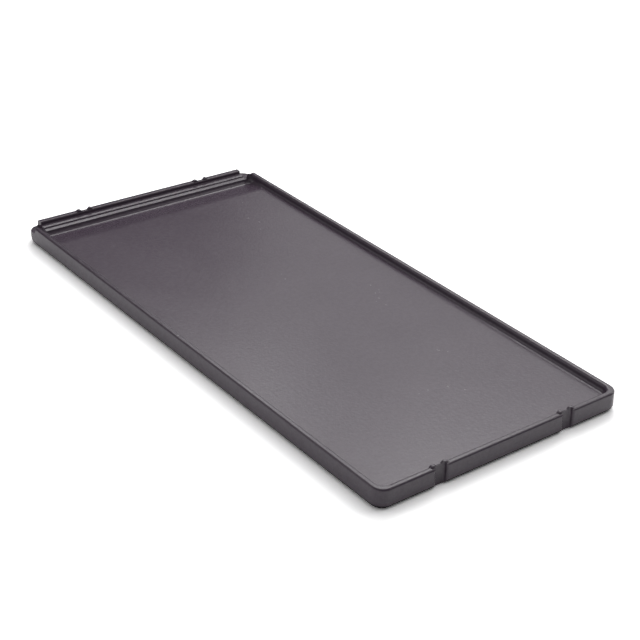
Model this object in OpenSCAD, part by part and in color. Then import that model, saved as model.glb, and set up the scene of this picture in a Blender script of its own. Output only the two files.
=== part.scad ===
// Griddle plate for a camp stove: an iron casting with a shallow cooking basin,
// a grease trough, stepped shelf and rail along the rear, open rear corners and
// notches that locate it on the stove, with a fired coat on the cooking floor.
// Millimetres, Z up, front towards -Y.

/* [Plate] */
// Width over the top of the side rims
plate_width = 235; // [200:1:300]
// Length over the top of the front rim and the rear rail
plate_length = 483; // [360:1:560]
// Height of the rim above the face the plate rests on
rim_height = 16.5; // [15.5:0.5:20]
// Width of the rim at its top
rim_width = 5.2; // [4.6:0.1:7]
// How far the outer wall spreads from its top to its foot
wall_flare = 1; // [0.4:0.1:1.6]
// Radius of the four corners in plan
corner_radius = 9.5; // [8.5:0.5:14]
// Rounding of the rim's outer top edge
outer_edge_radius = 1.6; // [1:0.1:2.2]
// Rounding of the rim's inner top edge
inner_edge_radius = 2.4; // [1.2:0.1:2.6]
// Rounding of the outer wall's foot
foot_edge_radius = 4.5; // [3:0.1:5]

/* [Cooking floor] */
// Depth of the cooking floor below the rim
basin_depth = 5.4; // [4.6:0.1:6.5]
// Thickness of the iron under the cooking floor
floor_thickness = 5; // [3.5:0.1:6]
// Radius of the basin's corners in plan
basin_corner_radius = 7; // [5:0.5:12]
// Draft of the basin's walls, in degrees
basin_draft = 4; // [2:0.5:8]
// Fillet between the floor and the walls
foot_fillet = 3; // [2:0.1:3.6]
// Thickness of the fired coat
coat_thickness = 0.3; // [0.2:0.05:0.5]

/* [Rear trough and shelf] */
// Length over which the floor falls to the rear
trough_run = 25; // [18:0.5:35]
// Slope of the trough's floor, in degrees
trough_slope = 9; // [6:0.5:11]
// Fillet between the trough's floor and the walls
trough_fillet = 5; // [4:0.1:5.4]
// Bend of the coat's surface where the floor turns down into the trough
bend_radius = 36; // [10:1:40]
// Drop from the rim's top to the front edge of the shelf
shelf_drop = 5.1; // [4.5:0.1:6]
// Depth of the shelf, front to rear
shelf_depth = 4.2; // [3:0.1:6]
// Rise of the small step behind the shelf
step_rise = 1.1; // [0.8:0.1:1.8]
// Depth of the step's tread, front to rear
tread_depth = 5.3; // [4:0.1:7]
// Fall of the shelf and the tread towards the floor, in degrees
tread_fall = 6; // [2:0.5:8]
// Rounding of the stepped edges
step_edge_radius = 1.1; // [0.5:0.1:1.3]
// Fillet at the foot of the step and of the rail
step_fillet = 0.6; // [0.3:0.1:0.8]

/* [Rear rail] */
// Open width between each end of the rail and the plate's side
open_corner_width = 10.5; // [8.5:0.5:16]
// Width of the rail, front to rear
rail_width = 5.9; // [4.8:0.1:7]
// Length of the slope that ends each side rim
rim_end_run = 1.2; // [0.8:0.1:3]
// Rounding of the open corners' outer edge
open_corner_edge_radius = 1.2; // [0.8:0.1:1.6]
// Height of the sloping wall under each open corner
lip_height = 9.5; // [8:0.1:9.5]
// How far the wall slopes in under each open corner
lip_undercut = 4.6; // [3:0.1:5]

/* [Locating notches] */
// Distance between the two notches of one end
notch_spacing = 124.5; // [90:0.5:150]
// Width of a notch
notch_width = 10; // [8:0.5:14]
// Depth of a notch into the wall
notch_depth = 3.2; // [2:0.1:3.5]
// Rounding of a notch's inner corners
notch_corner_radius = 2; // [1:0.1:2]
// Rounding of a notch's outer edges
notch_edge_radius = 2; // [1:0.1:2.4]
// Distance between the two raised ears beside a notch
ear_spacing = 10.8; // [9:0.1:13]
// Radius of an ear
ear_radius = 3.6; // [2.8:0.1:3.8]
// Height of the ears above the rim
ear_height = 1.5; // [0.8:0.1:1.8]
// Distance from the rim's outer edge to the middle of an ear
ear_inset = 3.3; // [2.6:0.1:3.6]
// Length of an ear across the rim
ear_length = 3.6; // [3:0.1:3.8]
// Rounding of an ear's ends
ear_edge_radius = 1; // [0.5:0.1:1.2]

/* [Underside] */
// Distance from the rim's outer edge in to the recess, which leaves the skirt that the plate stands on
skirt_inset = 7.5; // [6.6:0.1:10]
// Radius of the underside recess's corners in plan
recess_corner_radius = 6; // [4:0.5:10]
// Fillet between the recess's walls and its roof
recess_fillet = 2; // [1:0.1:3]

/* [Hidden] */
$fn = 64;

half_width = plate_width / 2;
half_length = plate_length / 2;
// Reach of a cut past the surface that it opens
clear = 6;
// Length by which two joining cuts run into each other
lap = 8;
// Amount by which a rounding's arc crosses the edges that it meets
hair = 0.001;

iron_floor_z = rim_height - basin_depth - coat_thickness;
floor_rim_width = rim_width + (basin_depth + coat_thickness) * tan(basin_draft);
inner_x = half_width - rim_width;
floor_x = half_width - floor_rim_width;
rail_half = half_width - open_corner_width;
rail_y = half_length - rail_width;
step_y = rail_y - tread_depth;
shelf_y = step_y - shelf_depth;
crease_y = shelf_y - trough_run;
shelf_z = rim_height - shelf_drop;
shelf_rear_z = shelf_z + shelf_depth * tan(tread_fall);
tread_z = shelf_rear_z + step_rise;
tread_rear_z = tread_z + tread_depth * tan(tread_fall);
trough_length = (trough_run - (shelf_z - iron_floor_z) * tan(trough_slope)) * cos(trough_slope);
flare_angle = atan(wall_flare / rim_height);
recess_width = plate_width - 2 * skirt_inset;

function unit(v) = v / norm(v);

// Waste outside the arc that rounds the corner between two edges
module round_off(tip, end_a, end_b, radius) {
    a = unit(end_a - tip);
    b = unit(end_b - tip);
    half_angle = acos(a * b) / 2;
    run = radius / tan(half_angle);
    inward = unit(a + b);
    out = -inward * radius / 2;
    centre = tip + inward * radius / sin(half_angle);
    start = tip + a * run;
    end = tip + b * run;
    difference() {
        polygon([centre, start, start + out, tip + out, end + out, end]);
        translate(centre) circle(radius + hair);
    }
}

// Sweeps a section round two sides and the front of a rounded rectangle. The
// section has X = 0 on the corners' axis and X = radius on the outline.
module u_sweep(width, reach, radius) {
    side_x = width / 2 - radius;
    for (side = [0, 1]) {
        mirror([side, 0, 0]) {
            translate([side_x, 0, 0]) rotate([90, 0, 0]) linear_extrude(reach - radius) children();
            translate([side_x, radius - reach, 0]) rotate(-90) rotate_extrude(angle = 90) children();
        }
    }
    translate([side_x, radius - reach, 0]) rotate([90, 0, -90]) linear_extrude(2 * side_x) children();
}

// The same sweep with its middle filled between two heights
module u_tray(width, reach, radius, low, high) {
    u_sweep(width, reach, radius) children();
    translate([radius - width / 2, radius - reach, low])
        cube([width - 2 * radius, reach - radius, high - low]);
}

// Extrudes a section drawn in Y and Z from one X to another
module across(from_x, to_x) {
    translate([from_x, 0, 0]) rotate([90, 0, 90]) linear_extrude(to_x - from_x) children();
}

module both_sides() {
    children();
    mirror([1, 0, 0]) children();
}

module both_ends() {
    children();
    mirror([0, 1, 0]) children();
}

// Outer wall, spreading to its rounded foot, from the corners' axis outwards
module wall_section() {
    top = [corner_radius, rim_height];
    foot = [corner_radius + wall_flare, 0];
    difference() {
        polygon([[0, 0], foot, top, [0, rim_height]]);
        round_off(top, [0, rim_height], foot, outer_edge_radius);
        round_off(foot, [0, 0], top, foot_edge_radius);
    }
}

// Pocket with drafted walls and a filleted floor, from the corners' axis outwards
module pocket_section(radius, height, fillet) {
    foot = [radius, 0];
    top = [radius + height * tan(basin_draft), height];
    difference() {
        polygon([[0, 0], foot, top, [0, height]]);
        round_off(foot, [0, 0], top, fillet);
    }
}

module blank() {
    both_ends() u_tray(plate_width, half_length, corner_radius, 0, rim_height) wall_section();
}

// Places a form drawn from the crease rearwards on the trough's sloping floor
module on_trough() {
    translate([0, crease_y, iron_floor_z]) rotate([-trough_slope, 0, 0]) mirror([0, 1, 0])
        translate([0, lap, 0]) children();
}

module basin() {
    height = basin_depth + coat_thickness + clear;
    rear = crease_y + trough_run / 2;
    translate([0, rear, iron_floor_z])
        u_tray(2 * floor_x, rear + half_length - floor_rim_width, basin_corner_radius, 0, height)
            pocket_section(basin_corner_radius, height, foot_fillet);
    on_trough() u_tray(2 * floor_x, trough_length + lap, basin_corner_radius, 0, height + clear)
        pocket_section(basin_corner_radius, height + clear, trough_fillet);
}

// Waste at the rim's inner top edge, front and sides
module inner_edge() {
    rear = shelf_y + rim_end_run;
    radius = basin_corner_radius + floor_rim_width - rim_width;
    foot = [basin_corner_radius, iron_floor_z];
    translate([0, rear, 0]) u_sweep(2 * inner_x, rear + half_length - rim_width, radius)
        round_off([radius, rim_height], [radius + rim_width, rim_height], foot, inner_edge_radius);
}

// Space above the shelf, the step and its tread, in front of the rail
module stairs_section() {
    top = rim_height + clear;
    shelf_front = [shelf_y, shelf_z];
    shelf_rear = [step_y, shelf_rear_z];
    tread_front = [step_y, tread_z];
    tread_rear = [rail_y, tread_rear_z];
    rail_top = [rail_y, rim_height];
    trough_foot = shelf_front - [sin(trough_slope), cos(trough_slope)] * trough_fillet;
    difference() {
        polygon([shelf_front, shelf_rear, tread_front, tread_rear, [rail_y, top], [shelf_y, top]]);
        round_off(shelf_rear, shelf_front, tread_front, step_fillet);
        round_off(tread_rear, tread_front, rail_top, step_fillet);
    }
    round_off(shelf_front, shelf_rear, trough_foot, step_edge_radius);
    round_off(tread_front, shelf_rear, tread_rear, step_edge_radius);
    round_off(rail_top, tread_rear, [half_length, rim_height], outer_edge_radius);
}

// Space above an open corner, level with the shelf's front edge and out over the rear
module open_corner_section() {
    top = rim_height + clear;
    rear = half_length + clear;
    trough_foot = [shelf_y, shelf_z] - [sin(trough_slope), cos(trough_slope)] * trough_fillet;
    polygon([[shelf_y, shelf_z], [rear, shelf_z], [rear, top], [shelf_y, top]]);
    round_off([shelf_y, shelf_z], [rear, shelf_z], trough_foot, step_edge_radius);
}

// Space behind the slope that ends a side rim
module rim_end_section() {
    top = rim_height + clear;
    rear = half_length + clear;
    polygon([[shelf_y, top], [shelf_y, rim_height], [shelf_y + rim_end_run, shelf_z],
        [rear, shelf_z], [rear, top]]);
}

// Waste at the outer edge of an open corner
module open_corner_edge() {
    tip = [corner_radius + shelf_drop * tan(flare_angle), shelf_z];
    intersection() {
        translate([half_width - corner_radius, half_length - corner_radius, 0]) rotate_extrude(angle = 90)
            round_off(tip, [0, shelf_z], [corner_radius + wall_flare, 0], open_corner_edge_radius);
        translate([rail_half, shelf_y + rim_end_run, 0]) cube([half_width, half_length, rim_height]);
    }
}

// Waste under an open corner's lip, where the wall slopes in to its foot
module lip_relief() {
    reach = 2 * corner_radius;
    lip_x = corner_radius + (rim_height - lip_height) * tan(flare_angle);
    translate([half_width - corner_radius, half_length - corner_radius, 0]) rotate(45)
        translate([lip_x, 0, lip_height]) rotate([0, atan(lip_undercut / lip_height), 0])
            translate([0, -reach / 2, -reach]) cube([reach, reach, 2 * reach]);
}

module rear_edge() {
    across(-rail_half, rail_half) stairs_section();
    both_sides() {
        across(rail_half, inner_x) open_corner_section();
        across(inner_x, half_width + clear) rim_end_section();
        open_corner_edge();
        lip_relief();
    }
}

// Recess that leaves the skirt; its roof follows the floor and the trough
module underside() {
    roof = iron_floor_z - floor_thickness;
    height = roof + clear;
    rear = crease_y - lap / 2;
    slope_width = recess_width - 2 * recess_fillet;
    slope_reach = trough_length + lap - trough_fillet;
    mirror([0, 0, 1]) translate([0, rear, -roof])
        u_tray(recess_width, rear + half_length - skirt_inset, recess_corner_radius, 0, height)
            pocket_section(recess_corner_radius, height, recess_fillet);
    on_trough() translate([0, 0, -floor_thickness]) mirror([0, 0, 1])
        u_tray(slope_width, slope_reach, recess_corner_radius, 0, height)
            pocket_section(recess_corner_radius, height, recess_fillet);
}

module ear() {
    half = ear_length / 2;
    rotate([90, 0, 0]) rotate_extrude() difference() {
        translate([0, -half]) square([ear_radius, ear_length]);
        round_off([ear_radius, half], [0, half], [ear_radius, -half], ear_edge_radius);
        round_off([ear_radius, -half], [0, -half], [ear_radius, half], ear_edge_radius);
    }
}

module ears() {
    z = rim_height + ear_height - ear_radius;
    for (x = [-ear_spacing / 2, ear_spacing / 2]) {
        both_sides() both_ends() translate([notch_spacing / 2 + x, ear_inset - half_length, z]) ear();
    }
}

// Plan of a notch: the wall's face is at Y = 0 and the iron behind it
module notch_section() {
    half = notch_width / 2;
    difference() {
        translate([-half, -clear]) square([notch_width, notch_depth + clear]);
        for (side = [-1, 1]) {
            round_off([side * half, notch_depth], [0, notch_depth], [side * half, 0], notch_corner_radius);
        }
    }
    for (side = [-1, 1]) {
        round_off([side * half, 0], [side * notch_width, 0], [side * half, notch_depth], notch_edge_radius);
    }
}

// Notches, sloping with the wall so that they are as deep at its foot
module notches() {
    both_ends() for (side = [-1, 1]) {
        translate([side * notch_spacing / 2, -half_length, rim_height]) rotate([-flare_angle, 0, 0])
            translate([0, 0, -rim_height - clear]) linear_extrude(rim_height + 2 * clear) notch_section();
    }
}

module plate_casting() {
    color([0.17, 0.16, 0.17]) difference() {
        union() {
            difference() {
                blank();
                basin();
                inner_edge();
                rear_edge();
                underside();
            }
            ears();
        }
        notches();
    }
}

// Space under the coat's surface, level and then down the trough
module coat_section() {
    top = iron_floor_z + coat_thickness;
    down = [cos(trough_slope), -sin(trough_slope)];
    up = [sin(trough_slope), cos(trough_slope)];
    bend = [crease_y + coat_thickness * tan(trough_slope / 2), top];
    rear = [crease_y, iron_floor_z] + down * trough_length + up * coat_thickness;
    difference() {
        polygon([[-half_length, 0], [-half_length, top], bend, rear, [rear[0], 0]]);
        round_off(bend, [-half_length, top], rear, bend_radius);
    }
}

module cooking_coat() {
    color([0.24, 0.23, 0.25]) intersection() {
        basin();
        across(-half_width, half_width) coat_section();
    }
}

plate_casting();
cooking_coat();
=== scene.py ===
import math
import bpy
from mathutils import Matrix, Vector

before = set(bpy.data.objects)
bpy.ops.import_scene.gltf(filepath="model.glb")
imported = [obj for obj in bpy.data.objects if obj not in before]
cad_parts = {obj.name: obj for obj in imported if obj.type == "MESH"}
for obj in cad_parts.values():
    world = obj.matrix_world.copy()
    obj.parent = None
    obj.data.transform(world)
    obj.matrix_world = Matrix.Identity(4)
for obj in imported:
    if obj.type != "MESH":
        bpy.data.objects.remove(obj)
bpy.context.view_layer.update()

scene = bpy.context.scene
scene.view_settings.view_transform = "Standard"

# Camera: a long lens in front of the plate and to its left, looking down along the cooking
# floor and leaning a little to one side. Lens, place, turn, rise and lean were solved from
# the plate's straight edges and corners in the photo.
camera_place = (-0.67919, -0.84407, 0.60752)
turn, rise, lean = math.radians(-39.718), math.radians(29.333), math.radians(3.503)
camera_data = bpy.data.cameras.new("camera")
camera_data.sensor_width = 36.0
camera_data.lens = 85.338
camera_data.clip_start = 0.05
back = Vector((math.sin(turn) * math.cos(rise), -math.cos(turn) * math.cos(rise), math.sin(rise)))
level = Vector((math.cos(turn), math.sin(turn), 0.0))
upright = back.cross(level)
right = math.cos(lean) * level + math.sin(lean) * upright
up = math.cos(lean) * upright - math.sin(lean) * level
camera = bpy.data.objects.new("camera", camera_data)
camera.matrix_world = Matrix((right, up, back)).transposed().to_4x4()
camera.location = camera_place
scene.collection.objects.link(camera)
scene.camera = camera


# Paper floor: a wide sheet of matt white paper under the plate. It shows as plain white
# and keeps the soft shadow that the plate throws on it. Its tone for the camera and in the
# plate's sheen is lighter than the one that lights the plate.
class Field:
    """One value of a finish or of the room, as it changes from place to place."""

    def __init__(self, socket):
        self.socket = socket

    def node(self, kind, settings, inputs, out=0):
        made = self.socket.id_data.nodes.new(kind)
        for key, value in settings.items():
            setattr(made, key, value)
        for key, value in inputs.items():
            if isinstance(value, Field):
                self.socket.id_data.links.new(value.socket, made.inputs[key])
            else:
                made.inputs[key].default_value = value
        return Field(made.outputs[out]) if made.outputs else None

    def calculate(self, operation, first, second):
        return self.node("ShaderNodeMath", {"operation": operation}, {0: first, 1: second})

    def __add__(self, other):
        return self.calculate("ADD", self, other)

    __radd__ = __add__

    def __sub__(self, other):
        return self.calculate("SUBTRACT", self, other)

    def __rsub__(self, other):
        return self.calculate("SUBTRACT", other, self)

    def __mul__(self, other):
        return self.calculate("MULTIPLY", self, other)

    __rmul__ = __mul__

    def between(self, low, high):
        limits = {"Value": self, "From Min": low, "From Max": high}
        return self.node("ShaderNodeMapRange", {"interpolation_type": "SMOOTHSTEP"}, limits)

    def blend(self, first, second):
        factor, first_colour, second_colour, mixed_colour = 0, 6, 7, 2
        inputs = {factor: self, first_colour: first, second_colour: second}
        return self.node("ShaderNodeMix", {"data_type": "RGBA"}, inputs, mixed_colour)


def grey(level):
    return (level, level, level, 1)


floor_reach = 6
floor_corners = [
    (-floor_reach, -floor_reach, 0),
    (floor_reach, -floor_reach, 0),
    (floor_reach, floor_reach, 0),
    (-floor_reach, floor_reach, 0),
]
lighting_tone, mirrored_tone, seen_tone = grey(0.8), grey(1.8), grey(2.2)
floor_mesh = bpy.data.meshes.new("paper_floor")
floor_mesh.from_pydata(floor_corners, [], [(0, 1, 2, 3)])
paper_floor = bpy.data.objects.new("paper_floor", floor_mesh)
scene.collection.objects.link(paper_floor)
paper = bpy.data.materials.new("white_paper")
paper.use_nodes = True
paper.node_tree.nodes.clear()
sight = Field(paper.node_tree.nodes.new("ShaderNodeLightPath").outputs["Is Camera Ray"])
gleam = Field(sight.socket.node.outputs["Is Glossy Ray"])
white = sight.blend(gleam.blend(lighting_tone, mirrored_tone), seen_tone)
matt = sight.node("ShaderNodeBsdfDiffuse", {}, {"Color": white})
sight.node("ShaderNodeOutputMaterial", {}, {"Surface": matt})
floor_mesh.materials.append(paper)

# Room: the dim grey surroundings of the studio, which light the plate a little from all
# sides. Where the camera looks past the edge of the paper, they show as white.
room_tone, open_tone = grey(0.13), grey(1)
world = bpy.data.worlds.new("studio")
world.use_nodes = True
backdrop = world.node_tree.nodes["Background"]
beyond = Field(world.node_tree.nodes.new("ShaderNodeLightPath").outputs["Is Camera Ray"])
room = beyond.blend(room_tone, open_tone)
world.node_tree.links.new(room.socket, backdrop.inputs["Color"])
scene.world = world

# Studio light: eight soft boxes, all equally far from the middle of the plate and turned to
# it. Those on the right and the rear right make the sheen on the cooking floor, and the two
# on the left lift the left wall and the edge above it.
box_distance = 3.0


def soft_box(name, turn, rise, width, height, radiance):
    lamp = bpy.data.lights.new(name, "AREA")
    lamp.shape = "RECTANGLE"
    lamp.size = width
    lamp.size_y = height
    lamp.energy = radiance * math.pi * width * height
    turn, rise = math.radians(turn), math.radians(rise)
    heading = Vector((math.sin(turn) * math.cos(rise), math.cos(turn) * math.cos(rise), math.sin(rise)))
    box = bpy.data.objects.new(name, lamp)
    box.location = box_distance * heading
    box.rotation_euler = heading.to_track_quat("Z", "Y").to_euler()
    scene.collection.objects.link(box)


soft_box("right_box", turn=61, rise=22, width=2.55, height=1.80, radiance=0.9)
soft_box("upper_box", turn=55, rise=45, width=0.95, height=0.90, radiance=4.4)
soft_box("rear_box", turn=29, rise=41, width=0.87, height=0.74, radiance=4.3)
soft_box("side_box", turn=102, rise=33, width=1.81, height=2.80, radiance=1.3)
soft_box("top_box", turn=0, rise=89, width=2.40, height=2.40, radiance=0.45)
soft_box("crown_box", turn=25, rise=62, width=1.95, height=1.40, radiance=1.5)
soft_box("left_box", turn=268, rise=20, width=4.50, height=1.95, radiance=0.42)
soft_box("left_rear_box", turn=312, rise=30, width=1.20, height=1.60, radiance=0.8)


# Plate casting: grey iron, poured in one piece in a sand mould, with a dark fired finish all
# over. The sand's grain shows through it as orange peel. On the crests of the rim, the rail and
# the ears the finish is paler: partly rubbed thin, partly a painted highlight on the tops. The
# foot and the underside carry painted shade, near black and matt, where the plate's shadow falls.
def noise(place, per_metre, detail):
    return place.node("ShaderNodeTexNoise", {}, {"Vector": place, "Scale": per_metre, "Detail": detail})


def fired_finish(name, thick_tone, thin_tone, roughness):
    cloud_share, cloud_low, cloud_high = 0.3, 0.3, 0.7
    grain_share, grain_low, grain_high = 0.35, 0.35, 0.65
    peel_depth, peel_strength = 0.0004, 0.25
    rough_swing, middle = 0.06, 0.5
    finish = bpy.data.materials.new(name)
    finish.use_nodes = True
    place = Field(finish.node_tree.nodes.new("ShaderNodeTexCoord").outputs["Object"])
    cloud = noise(place, per_metre=22, detail=4)
    freckle = noise(place, per_metre=700, detail=1)
    grit = noise(place, per_metre=260, detail=2)
    peel = noise(place, per_metre=380, detail=2)
    thinness = cloud_share * cloud.between(cloud_low, cloud_high)
    thinness = thinness + grain_share * freckle.between(grain_low, grain_high)
    thinness = thinness + grain_share * grit.between(grain_low, grain_high)
    colour = thinness.blend(thick_tone, thin_tone)
    rough = roughness + rough_swing * (cloud - middle) + rough_swing * (grit - middle)
    relief = {"Strength": peel_strength, "Distance": peel_depth, "Height": peel}
    bump = peel.node("ShaderNodeBump", {}, relief)
    return finish, place, colour, rough, bump


def dress(node, finish, colour, rough, bump):
    shell = finish.node_tree.nodes["Principled BSDF"]
    for key, field in (("Base Color", colour), ("Roughness", rough), ("Normal", bump)):
        finish.node_tree.links.new(field.socket, shell.inputs[key])
    node.data.materials.clear()
    node.data.materials.append(finish)


iron_thick = (0.064, 0.045, 0.066, 1)
iron_thin = (0.082, 0.061, 0.084, 1)
iron_roughness = 0.22
crest_low, crest_high = 0.0152, 0.0178
crest_noise_low, crest_noise_high = 0.45, 0.7
# Paler crests: partly rubbed wear, partly a painted highlight on the tops.
wear_and_highlight_tone = (0.12, 0.105, 0.115, 1)
wear_and_highlight_share, worn_roughness = 0.25, 0.08
# Painted shade on the downward faces: its near black tone, and the lean where it starts and is full.
painted_shade_tone = (0.014, 0.012, 0.013, 1)
shade_start, shade_full = 0.08, 0.55
iron, iron_place, iron_colour, iron_rough, iron_bump = fired_finish(
    "iron_finish", iron_thick, iron_thin, iron_roughness)
height = iron_place.node("ShaderNodeSeparateXYZ", {}, {"Vector": iron_place}, "Z")
crest_noise = noise(iron_place, per_metre=140, detail=5)
# Painted highlight and wear: the tops of the rim, the rail and the ears turn paler in patches.
wear_and_highlight = height.between(crest_low, crest_high) * crest_noise.between(crest_noise_low, crest_noise_high)
iron_colour = (wear_and_highlight_share * wear_and_highlight).blend(iron_colour, wear_and_highlight_tone)
iron_rough = iron_rough + worn_roughness * wear_and_highlight
dress(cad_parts["plate_casting"], iron, iron_colour, iron_rough, iron_bump)
# Painted shade: faces that turn downward, the foot's rounding and the underside, go matt black.
facing = Field(iron.node_tree.nodes.new("ShaderNodeNewGeometry").outputs["Normal"])
upward = facing.node("ShaderNodeSeparateXYZ", {}, {"Vector": facing}, "Z")
downward_shade = (0.0 - upward).between(shade_start, shade_full)
shade_matt = downward_shade.node("ShaderNodeBsdfDiffuse", {}, {"Color": painted_shade_tone, "Normal": iron_bump})
fired = Field(iron.node_tree.nodes["Principled BSDF"].outputs["BSDF"])
skin = downward_shade.node("ShaderNodeMixShader", {}, {0: downward_shade, 1: fired, 2: shade_matt})
iron.node_tree.links.new(skin.socket, iron.node_tree.nodes["Material Output"].inputs["Surface"])

# Cooking coat: the same finish fired on thicker, over the cooking floor and down into the
# trough. Along the side walls it climbs in a hollow curve, where it ran together before it
# set; the climb is full at the front end and fades out past the middle of the plate.
coat_thick = (0.072, 0.049, 0.074, 1)
coat_thin = (0.088, 0.062, 0.090, 1)
coat_roughness = 0.25
climb_width, climb_height = 0.0022, 0.00033
climb_full, climb_gone = -0.20, 0.08
coat, coat_place, coat_colour, coat_rough, coat_bump = fired_finish(
    "coat_finish", coat_thick, coat_thin, coat_roughness)
cooking_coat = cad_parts["cooking_coat"]
coat_edge = max(corner[0] for corner in cooking_coat.bound_box)
across = coat_place.node("ShaderNodeSeparateXYZ", {}, {"Vector": coat_place}, "X")
along = Field(across.socket.node.outputs["Y"])
climb = across.calculate("ABSOLUTE", across, 0.0) - (coat_edge - climb_width)
climb = climb.calculate("MAXIMUM", climb, 0.0) * (1.0 / climb_width)
hollow = climb_height * climb * climb * (1.0 - along.between(climb_full, climb_gone))
coat_relief = {"Distance": 1.0, "Height": hollow, "Normal": coat_bump}
coat_bump = hollow.node("ShaderNodeBump", {}, coat_relief)
dress(cooking_coat, coat, coat_colour, coat_rough, coat_bump)
